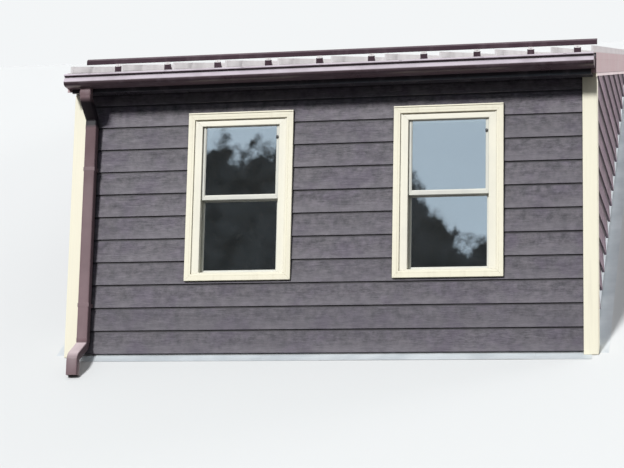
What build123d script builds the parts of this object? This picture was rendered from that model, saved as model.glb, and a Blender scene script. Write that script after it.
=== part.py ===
from build123d import *
import os
from math import cos, radians, tan

# Shed dormer with two double-hung windows, its gutter and its downspout.
# Millimetres, +X to the right, +Y into the house, +Z up.
# The origin is on the underside of the front wall's bottom plate, at its centre.

# Overall form
width = 4074.0
roof_pitch = 15.5
main_roof_slope = 0.75
roof_height = 2248.0

# Walls
wall_thickness = 102.0
lining_thickness = 13.0
post_thickness = 30.0
post_face = 108.0
post_clearance = 5.0

# Roof layers
deck_thickness = 16.0
rafter_width = 38.0
rafter_depth = 140.0
rafter_pitch = 406.0
sheet_thickness = 1.5
seam_height = 53.0
seam_width = 14.0
seam_pitch = 415.0
seam_inset = 21.0

# Eave and rake
eave_overhang = 170.0
fascia_thickness = 19.0
fascia_drop = 214.0
soffit_drop = 191.0
soffit_thickness = 10.0
roof_edge_reach = 15.0
rake_board_thickness = 38.0
rake_board_depth = 152.0
rake_mould_thickness = 25.0
rake_mould_depth = 26.0
rake_trim_face = 50.0
rake_trim_top = 20.0
eave_trim_face = 34.0

# Lap siding
exposure = 178.0
butt_thickness = 19.0
lap_thickness = 8.0
siding_foot = 12.0
cheek_siding_lift = 115.0
cheek_neck = 20.0

# Windows
left_window_inset = 1354.0
right_window_inset = 1108.0
casing_width = 832.0
casing_height = 1316.0
casing_head_gap = 175.0
casing_face = 51.0
casing_proud = 38.0
frame_setback = 12.0
jamb_face = 60.0
head_face = 38.0
sill_face = 14.0
sash_thickness = 35.0
sash_gap = 2.0
sash_setback = 20.0
stile_face = 27.0
top_rail = 16.0
bottom_rail = 24.0
meeting_rail = 48.0
glass_thickness = 16.0
glass_rebate = 8.0

# Gutter and downspout
gutter_depth = 127.0
gutter_height = 94.0
gutter_base = 74.0
gutter_lip_drop = 76.0
gutter_wall = 2.0
gutter_end_inset = 2.0
gutter_hem = 14.0
lip_face = 17.0
groove_face = 25.0
groove_depth = 6.0
ogee_rise = 24.0
hanger_width = 25.0
hanger_drop = 7.0
hanger_thickness = 3.0
hanger_pitch = 609.0
hanger_end_gap = 150.0
pipe_width = 88.0
pipe_depth = 66.0
pipe_wall = 2.0
pipe_inset = 160.0
pipe_gap = 10.0
pipe_foot_lift = 118.0
outlet_drop = 45.0
elbow_drop = 233.0
elbow_straight = 55.0
elbow_radius = 45.0
kick_drop = 117.0
kick_reach = 203.0
kick_tail = 136.0
strap_height = 30.0
strap_thickness = 1.5
strap_ear = 7.0
strap_courses = (2, 8)

# Flashings
flashing_thickness = 1.5
apron_leg = 92.0
apron_upstand = 60.0
apron_end_inset = 49.0
step_leg = 100.0
step_upstand = 330.0
head_leg = 150.0

# Snow bar
bar_setback = 490.0
bar_lift = 70.0
bar_height = 33.0
bar_thickness = 6.0
bar_lip = 18.0
bar_left_reach = 30.0
bar_right_inset = 28.0
foot_width = 66.0
foot_front = 50.0
foot_back = 60.0
foot_edge = 18.0
foot_head = 16.0

# Derived places
front_face = -wall_thickness / 2
inner_face = wall_thickness / 2
lining_face = inner_face + lining_thickness
half_width = width / 2
wall_half = half_width - post_thickness
room_half = wall_half - wall_thickness
slope = tan(radians(roof_pitch))
upright = 1 / cos(radians(roof_pitch))
main_upright = (1 + main_roof_slope**2) ** 0.5
fascia_face = front_face - eave_overhang - fascia_thickness
roof_edge = fascia_face - roof_edge_reach
siding_face = front_face - butt_thickness
fascia_foot = roof_height - fascia_drop
soffit_foot = roof_height - soffit_drop
casing_foot = soffit_foot - casing_head_gap - casing_height
window_centres = {"left": left_window_inset - half_width, "right": half_width - right_window_inset}


def roof_z(y, below=0.0):
    """Height of the metal roof's upper side, or of a layer at a depth below it."""
    return roof_height + slope * (y - front_face) - below * upright


def main_z(y, above=0.0):
    """Height of the main roof's surface, or of a line that far above it, measured upright."""
    return main_roof_slope * (y - front_face) + above


def meet_y(below=0.0, above=0.0):
    """Where a layer of this roof runs out on the main roof."""
    start = roof_z(front_face, below) - above
    return front_face + start / (main_roof_slope - slope)


leg_rise = flashing_thickness * main_upright
deck_top = sheet_thickness
deck_foot = deck_top + deck_thickness
rafter_foot = deck_foot + rafter_depth
rake_foot = deck_top + rake_board_depth / upright
mould_foot = rake_foot + rake_mould_depth / upright
wall_top = roof_z(inner_face, rafter_foot)


def front_plane(y):
    """Upright plane across the dormer, seen from the front."""
    return Plane(origin=(0, y, 0), x_dir=(1, 0, 0), z_dir=(0, -1, 0))


def side_plane(x):
    """Upright plane along the dormer, with Y to the right and Z up."""
    return Plane(origin=(x, 0, 0), x_dir=(0, 1, 0), z_dir=(1, 0, 0))


def save(part, name):
    """Label a finished piece and write it."""
    part.label = name
    export_step(part, f"parts/{name}.step")


def window_rect(centre, inset, mode=Mode.ADD):
    """Rectangle of a window, in from the casing's outer edge on every side."""
    middle = casing_foot + casing_height / 2
    with Locations((centre, middle)):
        Rectangle(casing_width - 2 * inset, casing_height - 2 * inset, mode=mode)


os.makedirs("parts", exist_ok=True)

sides = (("left", -1), ("right", 1))


# Front wall
with BuildPart() as front_wall:
    with BuildSketch(side_plane(0)):
        with BuildLine():
            Polyline(
                (front_face, 0),
                (inner_face, 0),
                (inner_face, wall_top),
                (front_face, wall_top),
                close=True,
            )
        make_face()
    extrude(amount=wall_half, both=True)
    with BuildSketch(front_plane(front_face)):
        for centre in window_centres.values():
            window_rect(centre, casing_face)
    extrude(amount=-wall_thickness, mode=Mode.SUBTRACT)
save(front_wall.part, "front_wall")

with BuildPart() as front_wall_lining:
    with BuildSketch(side_plane(0)):
        with BuildLine():
            Polyline(
                (inner_face, 0),
                (lining_face, 0),
                (lining_face, roof_z(lining_face, rafter_foot)),
                (inner_face, roof_z(inner_face, rafter_foot)),
                close=True,
            )
        make_face()
    extrude(amount=room_half, both=True)
    with BuildSketch(front_plane(inner_face)):
        for centre in window_centres.values():
            window_rect(centre, casing_face)
    extrude(amount=-lining_thickness, mode=Mode.SUBTRACT)
save(front_wall_lining.part, "front_wall_lining")


# Cheek walls, wedges between the main roof and this roof's deck
for side, sign in sides:
    with BuildPart() as cheek_wall:
        with BuildSketch(side_plane(sign * room_half)):
            with BuildLine():
                Polyline(
                    (inner_face, main_z(inner_face)),
                    (meet_y(deck_foot), main_z(meet_y(deck_foot))),
                    (inner_face, roof_z(inner_face, deck_foot)),
                    close=True,
                )
            make_face()
        extrude(amount=sign * wall_thickness)
    save(cheek_wall.part, f"{side}_cheek_wall")

with BuildPart() as cheek_linings:
    for side, sign in sides:
        with BuildSketch(side_plane(sign * (room_half - lining_thickness))):
            with BuildLine():
                Polyline(
                    (lining_face, main_z(lining_face)),
                    (meet_y(rafter_foot), main_z(meet_y(rafter_foot))),
                    (lining_face, roof_z(lining_face, rafter_foot)),
                    close=True,
                )
            make_face()
        extrude(amount=sign * lining_thickness)
save(cheek_linings.part, "cheek_linings")


# Rafters, with a seat over the front wall and a level cut above the soffit
rafter_side_count = int(room_half / rafter_pitch)
rafter_places = [n * rafter_pitch for n in range(-rafter_side_count, rafter_side_count + 1)]
rafter_places += [-(room_half - rafter_width / 2), room_half - rafter_width / 2]
tail = fascia_face + fascia_thickness
tail_cut = soffit_foot + soffit_thickness
with BuildPart() as rafters:
    for x in rafter_places:
        with BuildSketch(side_plane(x)):
            with BuildLine():
                Polyline(
                    (tail, roof_z(tail, deck_foot)),
                    (tail, tail_cut),
                    (front_face, tail_cut),
                    (front_face, wall_top),
                    (inner_face, wall_top),
                    (meet_y(rafter_foot), main_z(meet_y(rafter_foot))),
                    (meet_y(deck_foot), main_z(meet_y(deck_foot))),
                    close=True,
                )
            make_face()
        extrude(amount=rafter_width / 2, both=True)
save(rafters.part, "rafters")

with BuildPart() as roof_deck:
    with BuildSketch(side_plane(0)):
        with BuildLine():
            Polyline(
                (fascia_face, roof_z(fascia_face, deck_foot)),
                (meet_y(deck_foot), main_z(meet_y(deck_foot))),
                (meet_y(deck_top), main_z(meet_y(deck_top))),
                (fascia_face, roof_z(fascia_face, deck_top)),
                close=True,
            )
        make_face()
    extrude(amount=wall_half, both=True)
save(roof_deck.part, "roof_deck")


# Lap siding: thin at the head of each course and thick at its butt
def lap_profile(courses):
    """Outline of the laps, as (distance out from the wall, height), open over the apron's upstand."""
    recess = [(0, apron_upstand), (flashing_thickness, apron_upstand), (flashing_thickness, siding_foot)]
    points = recess + [(butt_thickness, siding_foot)]
    for n in range(1, courses + 1):
        height = siding_foot + n * exposure
        points.append((lap_thickness, height))
        if n < courses:
            points.append((butt_thickness, height))
    points.append((0, siding_foot + courses * exposure))
    return points


def step_outline(start, height):
    """Upright leg of the step flashing, up the main roof and cut off under the rake mould."""
    far = meet_y(mould_foot, height)
    end = meet_y(mould_foot)
    Polygon(
        (start, main_z(start)),
        (start, main_z(start, height)),
        (far, main_z(far, height)),
        (end, main_z(end)),
        align=None,
    )


front_courses = int((soffit_foot - siding_foot) / exposure) + 1
with BuildPart() as front_siding:
    with BuildSketch(side_plane(0)):
        with BuildLine():
            Polyline(*[(front_face - out, z) for out, z in lap_profile(front_courses)], close=True)
        make_face()
    extrude(amount=half_width - post_face, both=True)
    with BuildSketch(front_plane(front_face)):
        for centre in window_centres.values():
            window_rect(centre, 0)
    extrude(amount=butt_thickness, mode=Mode.SUBTRACT)
    split(bisect_by=Plane.XY.offset(soffit_foot), keep=Keep.BOTTOM)
save(front_siding.part, "front_siding")

cheek_courses = int(roof_z(meet_y()) / exposure) + 1


def cheek_steps(start):
    """Side view of a cheek's courses, each cut off plumb at its back end clear of the main roof."""
    points = []
    for n in range(cheek_courses):
        foot = siding_foot + n * exposure
        end = front_face + (foot - cheek_siding_lift) / main_roof_slope
        if points and roof_z(points[-1][0], mould_foot) < foot + cheek_neck:
            break
        if end > start:
            points += [(points[-1][0] if points else start, foot), (end, foot)]
    top = siding_foot + cheek_courses * exposure
    Polygon(*points, (points[-1][0], top), (start, top), align=None)


for side, sign in sides:
    with BuildPart() as cheek_siding:
        start = front_face + post_face - post_thickness
        run = meet_y() - start
        with BuildSketch(front_plane(start)):
            with BuildLine():
                outline = [(sign * (wall_half + out), z) for out, z in lap_profile(cheek_courses)]
                Polyline(*outline, close=True)
            make_face()
        extrude(amount=-run)
        with BuildSketch(side_plane(sign * wall_half)):
            cheek_steps(start)
        extrude(amount=sign * butt_thickness, mode=Mode.INTERSECT)
        with BuildSketch(side_plane(sign * wall_half)):
            with BuildLine():
                far = meet_y(mould_foot)
                Polyline(
                    (start, 0),
                    (far, 0),
                    (far, roof_z(far, mould_foot)),
                    (start, roof_z(start, mould_foot)),
                    close=True,
                )
            make_face()
        extrude(amount=sign * butt_thickness, mode=Mode.INTERSECT)
        with BuildSketch(side_plane(sign * wall_half)):
            step_outline(start, step_upstand)
        extrude(amount=sign * flashing_thickness, mode=Mode.SUBTRACT)
    save(cheek_siding.part, f"{side}_cheek_siding")


# Corner posts, one L-shaped piece at each front corner
post_foot = main_z(front_face - post_thickness, post_clearance)
for side, sign in sides:
    with BuildPart() as corner_post:
        with BuildSketch(Plane.XY.offset(post_foot)):
            with BuildLine():
                outer = sign * half_width
                Polyline(
                    (outer, front_face - post_thickness),
                    (outer, front_face - post_thickness + post_face),
                    (sign * wall_half, front_face - post_thickness + post_face),
                    (sign * wall_half, front_face),
                    (sign * (half_width - post_face), front_face),
                    (sign * (half_width - post_face), front_face - post_thickness),
                    close=True,
                )
            make_face()
        extrude(amount=soffit_foot - post_foot)
        with BuildSketch(side_plane(sign * half_width)):
            with BuildLine():
                near = front_face - post_thickness
                far = near + post_face
                cut = ((near, post_foot), (far, post_foot), (far, main_z(far, post_clearance)))
                Polyline(*cut, close=True)
            make_face()
        extrude(amount=-sign * post_face, mode=Mode.SUBTRACT)
    save(corner_post.part, f"{side}_corner_post")


# Eave: fascia and soffit
with BuildPart() as front_fascia:
    with BuildSketch(side_plane(0)):
        with BuildLine():
            Polyline(
                (fascia_face, fascia_foot),
                (tail, fascia_foot),
                (tail, roof_z(tail, deck_foot)),
                (fascia_face, roof_z(fascia_face, deck_foot)),
                close=True,
            )
        make_face()
    extrude(amount=wall_half, both=True)
save(front_fascia.part, "front_fascia")

with BuildPart() as front_soffit:
    with BuildSketch(side_plane(0)):
        with BuildLine():
            Polyline(
                (tail, soffit_foot),
                (front_face, soffit_foot),
                (front_face, soffit_foot + soffit_thickness),
                (tail, soffit_foot + soffit_thickness),
                close=True,
            )
        make_face()
    extrude(amount=wall_half, both=True)
save(front_soffit.part, "front_soffit")


# Rakes: a board on each cheek and a mould under it
rake_outer = wall_half + rake_board_thickness


def slope_band(start, top, foot):
    """Strip along the roof's slope between two depths below it, cut off just above the main roof."""
    Polygon(
        (start, roof_z(start, top)),
        (start, roof_z(start, foot)),
        (meet_y(foot, leg_rise), main_z(meet_y(foot, leg_rise), leg_rise)),
        (meet_y(top, leg_rise), main_z(meet_y(top, leg_rise), leg_rise)),
        align=None,
    )


post_back = front_face - post_thickness + post_face
for side, sign in sides:
    with BuildPart() as rake_fascia:
        with BuildSketch(side_plane(sign * wall_half)):
            slope_band(fascia_face, deck_top, rake_foot)
        extrude(amount=sign * rake_board_thickness)
        with BuildSketch(Plane.XY.offset(fascia_foot)):
            with Locations((sign * (half_width - post_thickness / 2), post_back - post_face / 2)):
                Rectangle(post_thickness, post_face)
        extrude(amount=soffit_foot - fascia_foot, mode=Mode.SUBTRACT)
    save(rake_fascia.part, f"{side}_rake_fascia")

with BuildPart() as rake_moulds:
    for side, sign in sides:
        with BuildSketch(side_plane(sign * wall_half)):
            slope_band(post_back, rake_foot, mould_foot)
        extrude(amount=sign * rake_mould_thickness)
save(rake_moulds.part, "rake_moulds")


# Metal roof, one skin with its standing seams
seam_half = half_width - seam_inset
pan_count = int(2 * seam_half / seam_pitch)
seam_places = [n * seam_pitch - seam_half for n in range(pan_count + 1)] + [seam_half]
seam_end = meet_y() - head_leg
with BuildPart() as metal_roof:
    with BuildSketch(side_plane(0)):
        slope_band(roof_edge, 0, deck_top)
    extrude(amount=rake_outer, both=True)
    for x in seam_places:
        with BuildSketch(side_plane(x)):
            with BuildLine():
                Polyline(
                    (roof_edge, roof_z(roof_edge)),
                    (seam_end, roof_z(seam_end)),
                    (seam_end, roof_z(seam_end, -seam_height)),
                    (roof_edge, roof_z(roof_edge, -seam_height)),
                    close=True,
                )
            make_face()
        extrude(amount=seam_width / 2, both=True)
save(metal_roof.part, "metal_roof")

for side, sign in sides:
    with BuildPart() as rake_trim:
        with BuildSketch(side_plane(sign * rake_outer)):
            slope_band(roof_edge, -sheet_thickness, rake_trim_face)
        extrude(amount=sign * sheet_thickness)
        with BuildSketch(side_plane(sign * (rake_outer - rake_trim_top))):
            slope_band(roof_edge, -sheet_thickness, 0)
        extrude(amount=sign * rake_trim_top)
    save(rake_trim.part, f"{side}_rake_trim")

with BuildPart() as eave_trim:
    with BuildSketch(side_plane(0)):
        with BuildLine():
            lip = fascia_face - flashing_thickness
            Polyline(
                (lip, roof_z(lip, deck_top)),
                (fascia_face, roof_z(fascia_face, deck_top)),
                (fascia_face, roof_z(fascia_face, deck_top) - eave_trim_face),
                (lip, roof_z(fascia_face, deck_top) - eave_trim_face),
                close=True,
            )
        make_face()
    extrude(amount=rake_outer, both=True)
save(eave_trim.part, "eave_trim")

# Head flashing, lapped over the roof's upper end and up the main roof
with BuildPart() as head_flashing:
    with BuildSketch(side_plane(0)):
        with BuildLine():
            start = meet_y() - head_leg
            end = meet_y() + head_leg
            low_bend = meet_y(0, leg_rise)
            bend = meet_y(-flashing_thickness, 2 * leg_rise)
            Polyline(
                (start, roof_z(start)),
                (low_bend, main_z(low_bend, leg_rise)),
                (end, main_z(end, leg_rise)),
                (end, main_z(end, 2 * leg_rise)),
                (bend, main_z(bend, 2 * leg_rise)),
                (start, roof_z(start, -flashing_thickness)),
                close=True,
            )
        make_face()
    extrude(amount=rake_outer - rake_trim_top, both=True)
save(head_flashing.part, "head_flashing")


# Snow bar, bent back along its top, on a foot in the middle of each pan
bar_y = fascia_face + bar_setback
bar_foot = roof_z(bar_y) + bar_lift
bar_left = -rake_outer - bar_left_reach
bar_right = rake_outer - bar_right_inset
with BuildPart() as snow_bar:
    with BuildSketch(side_plane(bar_left)):
        with BuildLine():
            web = bar_y + bar_thickness
            bend = bar_foot + bar_height
            Polyline(
                (bar_y, bar_foot),
                (web, bar_foot),
                (web, bend - bar_thickness / 2),
                (web + bar_lip, bend - bar_thickness / 2 + bar_lip),
                (bar_y + bar_lip, bend + bar_lip),
                (bar_y, bend),
                close=True,
            )
        make_face()
    extrude(amount=bar_right - bar_left)
save(snow_bar.part, "snow_bar")

near = bar_y - foot_front
far = bar_y + foot_back
with BuildPart() as snow_bar_feet:
    for start, end in zip(seam_places, seam_places[1:]):
        with BuildSketch(side_plane((start + end) / 2)):
            with BuildLine():
                Polyline(
                    (near, roof_z(near)),
                    (far, roof_z(far)),
                    (far, roof_z(far) + foot_edge),
                    (bar_y + foot_head, bar_foot),
                    (bar_y, bar_foot),
                    (near, roof_z(near) + foot_edge),
                    close=True,
                )
            make_face()
        extrude(amount=foot_width / 2, both=True)
save(snow_bar_feet.part, "snow_bar_feet")


# Gutter: flat back, ogee front, hemmed lip and open top
gutter_back = fascia_face - flashing_thickness
gutter_front = gutter_back - gutter_depth
gutter_lip = roof_height - gutter_lip_drop
gutter_foot = gutter_lip - gutter_height
gutter_half_length = half_width - gutter_end_inset
pipe_centre = pipe_inset - half_width
groove_top = gutter_lip - lip_face
groove_foot = groove_top - groove_face
groove = gutter_front + groove_depth
toe = gutter_back - gutter_base
with BuildSketch() as gutter_outline:
    with BuildLine():
        Polyline(
            (gutter_front, gutter_foot + ogee_rise),
            (gutter_front, groove_foot - groove_depth),
            (groove, groove_foot),
            (groove, groove_top + groove_depth),
            (gutter_front, groove_top + groove_depth),
            (gutter_front, gutter_lip),
            (gutter_back, gutter_lip),
            (gutter_back, gutter_foot),
            (toe, gutter_foot),
        )
        ThreePointArc(
            (toe, gutter_foot),
            ((gutter_front + toe) / 2, gutter_foot + ogee_rise / 4),
            (gutter_front, gutter_foot + ogee_rise),
        )
    make_face()

with BuildPart() as gutter:
    with BuildSketch(side_plane(0)):
        add(gutter_outline.sketch)
        offset(amount=-gutter_wall, kind=Kind.INTERSECTION, mode=Mode.SUBTRACT)
        open_front = gutter_front + gutter_hem
        open_back = gutter_back - gutter_wall
        with Locations(((open_front + open_back) / 2, gutter_lip)):
            Rectangle(open_back - open_front, 2 * gutter_wall, mode=Mode.SUBTRACT)
    extrude(amount=gutter_half_length - gutter_wall, both=True)
    with BuildSketch(Plane.XY.offset(gutter_foot)):
        with Locations((pipe_centre, gutter_back - gutter_base / 2)):
            Rectangle(pipe_width - 2 * pipe_wall, pipe_depth - 2 * pipe_wall)
    extrude(amount=gutter_wall, mode=Mode.SUBTRACT)
save(gutter.part, "gutter")

with BuildPart() as gutter_end_caps:
    for side, sign in sides:
        with BuildSketch(side_plane(sign * (gutter_half_length - gutter_wall))):
            add(gutter_outline.sketch)
        extrude(amount=sign * gutter_wall)
save(gutter_end_caps.part, "gutter_end_caps")

hanger_side_count = int((gutter_half_length - hanger_end_gap) / hanger_pitch)
with BuildPart() as gutter_hangers:
    for n in range(-hanger_side_count, hanger_side_count + 1):
        front = gutter_front + gutter_wall
        back = gutter_back - gutter_wall
        height = gutter_lip - hanger_drop
        with BuildSketch(side_plane(n * hanger_pitch)):
            with Locations(((front + back) / 2, height)):
                Rectangle(back - front, hanger_thickness)
        extrude(amount=hanger_width / 2, both=True)
save(gutter_hangers.part, "gutter_hangers")


# Downspout: outlet, elbow back to the wall, straight pipe, and elbow out over the roof
outlet_y = gutter_back - gutter_base / 2
pipe_y = siding_face - pipe_gap - pipe_depth / 2
outlet_foot = gutter_foot - outlet_drop
pipe_head = outlet_foot - elbow_drop
pipe_foot = siding_foot + pipe_foot_lift


def tube_section():
    """Rectangular tube, wider across the front than it is deep."""
    Rectangle(pipe_width, pipe_depth)
    Rectangle(pipe_width - 2 * pipe_wall, pipe_depth - 2 * pipe_wall, mode=Mode.SUBTRACT)


with BuildPart() as downspout_outlet:
    with BuildSketch(Plane.XY.offset(outlet_foot)):
        with Locations((pipe_centre, outlet_y)):
            tube_section()
    extrude(amount=outlet_drop)
save(downspout_outlet.part, "downspout_outlet")

with BuildPart() as downspout_top_elbow:
    with BuildLine(side_plane(pipe_centre)):
        top_path = FilletPolyline(
            (outlet_y, outlet_foot),
            (outlet_y, outlet_foot - elbow_straight),
            (pipe_y, pipe_head + elbow_straight),
            (pipe_y, pipe_head),
            radius=elbow_radius,
        )
    with BuildSketch(Plane(origin=top_path @ 0, x_dir=(1, 0, 0), z_dir=top_path % 0)):
        tube_section()
    sweep()
save(downspout_top_elbow.part, "downspout_top_elbow")

with BuildPart() as downspout_pipe:
    with BuildSketch(Plane.XY.offset(pipe_foot)):
        with Locations((pipe_centre, pipe_y)):
            tube_section()
    extrude(amount=pipe_head - pipe_foot)
save(downspout_pipe.part, "downspout_pipe")

with BuildPart() as downspout_bottom_elbow:
    with BuildLine(side_plane(pipe_centre)):
        foot_path = FilletPolyline(
            (pipe_y, pipe_foot),
            (pipe_y, pipe_foot - elbow_straight),
            (pipe_y - kick_reach, pipe_foot - elbow_straight - kick_drop),
            (pipe_y - kick_reach, pipe_foot - elbow_straight - kick_drop - kick_tail),
            radius=elbow_radius,
        )
    with BuildSketch(Plane(origin=foot_path @ 0, x_dir=(1, 0, 0), z_dir=foot_path % 0)):
        tube_section()
    sweep()
save(downspout_bottom_elbow.part, "downspout_bottom_elbow")

with BuildPart() as downspout_straps:
    for course in strap_courses:
        with BuildSketch(Plane.XY.offset(siding_foot + course * exposure)):
            ear = siding_face - strap_thickness / 2
            with Locations((pipe_centre, ear)):
                Rectangle(pipe_width + 2 * strap_ear, strap_thickness)
            front = pipe_y - pipe_depth / 2 - strap_thickness
            with Locations((pipe_centre, (front + siding_face) / 2)):
                Rectangle(pipe_width + 2 * strap_thickness, siding_face - front)
            with Locations((pipe_centre, (front + strap_thickness + siding_face) / 2)):
                Rectangle(pipe_width, siding_face - front - strap_thickness, mode=Mode.SUBTRACT)
        extrude(amount=strap_height)
save(downspout_straps.part, "downspout_straps")


# Flashings at the foot: an apron along the front and a strip along each cheek
apron_half_length = half_width - apron_end_inset
with BuildPart() as apron_flashing:
    with BuildSketch(side_plane(0)):
        with BuildLine():
            toe = front_face - apron_leg / main_upright
            back = front_face - flashing_thickness
            Polyline(
                (front_face, main_z(front_face)),
                (front_face, apron_upstand),
                (back, apron_upstand),
                (back, main_z(back, leg_rise)),
                (toe, main_z(toe, leg_rise)),
                (toe, main_z(toe)),
                close=True,
            )
        make_face()
    extrude(amount=half_width - post_face, both=True)
    with BuildSketch(side_plane(0)):
        with BuildLine():
            Polyline(
                (front_face, main_z(front_face)),
                (front_face, main_z(front_face, leg_rise)),
                (toe, main_z(toe, leg_rise)),
                (toe, main_z(toe)),
                close=True,
            )
        make_face()
    extrude(amount=apron_half_length, both=True)
save(apron_flashing.part, "apron_flashing")

for side, sign in sides:
    with BuildPart() as step_flashing:
        with BuildSketch(side_plane(sign * wall_half)):
            step_outline(post_back, step_upstand)
        extrude(amount=sign * flashing_thickness)
        with BuildSketch(side_plane(sign * wall_half)):
            with BuildLine():
                end = meet_y()
                Polyline(
                    (front_face, main_z(front_face)),
                    (end, main_z(end)),
                    (end, main_z(end, leg_rise)),
                    (front_face, main_z(front_face, leg_rise)),
                    close=True,
                )
            make_face()
        extrude(amount=sign * step_leg)
    save(step_flashing.part, f"{side}_step_flashing")


# Windows: casing, frame, two sashes and their glass
frame_front = front_face - casing_proud + frame_setback
frame_foot = casing_foot + casing_face + sill_face
frame_head = casing_foot + casing_height - casing_face - head_face
frame_width = casing_width - 2 * (casing_face + jamb_face)
window_middle = (frame_foot + frame_head) / 2
sash_front = frame_front + sash_setback
glass_width = frame_width - 2 * stile_face + 2 * glass_rebate


def rect_between(centre, wide, low, high, mode=Mode.ADD):
    """Upright rectangle between two heights."""
    with Locations((centre, (low + high) / 2)):
        Rectangle(wide, high - low, mode=mode)


sashes = (
    ("upper", sash_front, window_middle - meeting_rail / 2, frame_head, meeting_rail, top_rail),
    (
        "lower",
        sash_front + sash_thickness + sash_gap,
        frame_foot,
        window_middle + meeting_rail / 2,
        bottom_rail,
        meeting_rail,
    ),
)

for side, centre in window_centres.items():
    with BuildPart() as casing:
        with BuildSketch(front_plane(front_face)):
            window_rect(centre, 0)
            window_rect(centre, casing_face, Mode.SUBTRACT)
        extrude(amount=casing_proud)
    save(casing.part, f"{side}_window_casing")

    with BuildPart() as frame:
        with BuildSketch(front_plane(frame_front)):
            window_rect(centre, casing_face)
            rect_between(centre, frame_width, frame_foot, frame_head, Mode.SUBTRACT)
        extrude(amount=frame_front - lining_face)
    save(frame.part, f"{side}_window_frame")

    with BuildPart() as glass:
        for name, near, foot, head, low_rail, high_rail in sashes:
            with BuildPart(mode=Mode.PRIVATE) as sash:
                with BuildSketch(front_plane(near)):
                    rect_between(centre, frame_width, foot, head)
                    sight = frame_width - 2 * stile_face
                    rect_between(centre, sight, foot + low_rail, head - high_rail, Mode.SUBTRACT)
                extrude(amount=-sash_thickness)
                with BuildSketch(front_plane(near + (sash_thickness - glass_thickness) / 2)):
                    low = foot + low_rail - glass_rebate
                    high = head - high_rail + glass_rebate
                    rect_between(centre, glass_width, low, high)
                extrude(amount=-glass_thickness, mode=Mode.SUBTRACT)
            save(sash.part, f"{side}_window_{name}_sash")
            with BuildSketch(front_plane(near + (sash_thickness - glass_thickness) / 2)):
                low = foot + low_rail - glass_rebate
                high = head - high_rail + glass_rebate
                rect_between(centre, glass_width, low, high)
            extrude(amount=-glass_thickness)
    save(glass.part, f"{side}_window_glass")
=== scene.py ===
import math

import bmesh
import bpy
from mathutils import Matrix, Vector, noise


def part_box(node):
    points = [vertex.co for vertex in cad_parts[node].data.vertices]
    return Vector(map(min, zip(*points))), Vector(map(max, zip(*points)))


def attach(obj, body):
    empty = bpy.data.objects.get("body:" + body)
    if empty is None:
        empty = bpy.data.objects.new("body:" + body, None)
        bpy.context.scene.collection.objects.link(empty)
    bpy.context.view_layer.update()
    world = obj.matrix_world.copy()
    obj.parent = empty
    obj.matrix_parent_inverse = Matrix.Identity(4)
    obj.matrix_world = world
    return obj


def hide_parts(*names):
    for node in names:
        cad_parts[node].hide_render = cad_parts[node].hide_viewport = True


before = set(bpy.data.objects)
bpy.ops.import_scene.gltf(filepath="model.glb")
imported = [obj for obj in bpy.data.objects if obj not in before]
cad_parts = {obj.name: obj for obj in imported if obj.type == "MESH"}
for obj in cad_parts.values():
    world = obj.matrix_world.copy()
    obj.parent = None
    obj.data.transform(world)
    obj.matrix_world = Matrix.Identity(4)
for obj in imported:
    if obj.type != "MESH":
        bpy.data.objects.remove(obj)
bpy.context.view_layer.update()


# The frame of the dormer: wall panels, rafters and roof boards of sawn softwood.
# They are nailed together, and show only from below and through the open back.
def put(tree, kind, inputs=None, **settings):
    """One shader node with its settings and inputs; an input may be another node's output."""
    made = tree.nodes.new("ShaderNode" + kind)
    for key, value in settings.items():
        setattr(made, key, value)
    feed(tree, made, inputs or {})
    return made


def feed(tree, made, inputs):
    """Joins or sets the inputs of a node."""
    for key, value in inputs.items():
        if isinstance(value, bpy.types.NodeSocket):
            tree.links.new(value, made.inputs[key])
        else:
            made.inputs[key].default_value = value


def start_group(name, inputs, outputs=("Mask",)):
    """A shader node group with named sockets; each input is (name, kind, value)."""
    tree = bpy.data.node_groups.new(name, "ShaderNodeTree")
    for label, kind, value in inputs:
        socket = tree.interface.new_socket(label, in_out="INPUT", socket_type="NodeSocket" + kind)
        socket.default_value = value
    for label in outputs:
        tree.interface.new_socket(label, in_out="OUTPUT", socket_type="NodeSocketFloat")
    return tree, tree.nodes.new("NodeGroupInput"), tree.nodes.new("NodeGroupOutput")


def use(tree, group, inputs=None):
    """A group placed in a material."""
    made = tree.nodes.new("ShaderNodeGroup")
    made.node_tree = group
    feed(tree, made, inputs or {})
    return made


def grade(tree, value, low, high, to_low=0.0, to_high=1.0, **settings):
    """A value stretched from one range to another."""
    return put(tree, "MapRange", {0: value, 1: low, 2: high, 3: to_low, 4: to_high},
               **settings).outputs[0]


def clouds(tree, scale, detail=2.0, roughness=0.5):
    """Soft noise through the piece; a larger scale makes smaller clouds."""
    place = put(tree, "TexCoord").outputs["Object"]
    return put(tree, "TexNoise", {"Vector": place, "Scale": scale, "Detail": detail,
                                  "Roughness": roughness}).outputs[0]


def tint(tree, factor, first, second, kind="MIX"):
    """Two colours mixed by a factor."""
    return put(tree, "Mix", {0: factor, 6: first, 7: second}, data_type="RGBA", blend_type=kind).outputs[2]


def reckon(tree, kind, first, second=0.0, third=0.0, clamp=False):
    """One step of arithmetic on values."""
    return put(tree, "Math", {0: first, 1: second, 2: third}, operation=kind, use_clamp=clamp).outputs[0]


def new_finish(name, **constants):
    """A material, its tree and its shader, with the constants set on the shader's own sockets."""
    finish = bpy.data.materials.new(name)
    finish.use_nodes = True
    shader = finish.node_tree.nodes["Principled BSDF"]
    for key, value in constants.items():
        shader.inputs[key.replace("_", " ")].default_value = value
    return finish, finish.node_tree, shader


def relief(tree, shader, height, depth, strength=1.0):
    """Bump from a height between 0 and 1, depth metres deep."""
    bump = put(tree, "Bump", {"Strength": strength, "Distance": depth, "Height": height})
    tree.links.new(bump.outputs[0], shader.inputs["Normal"])


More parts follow.
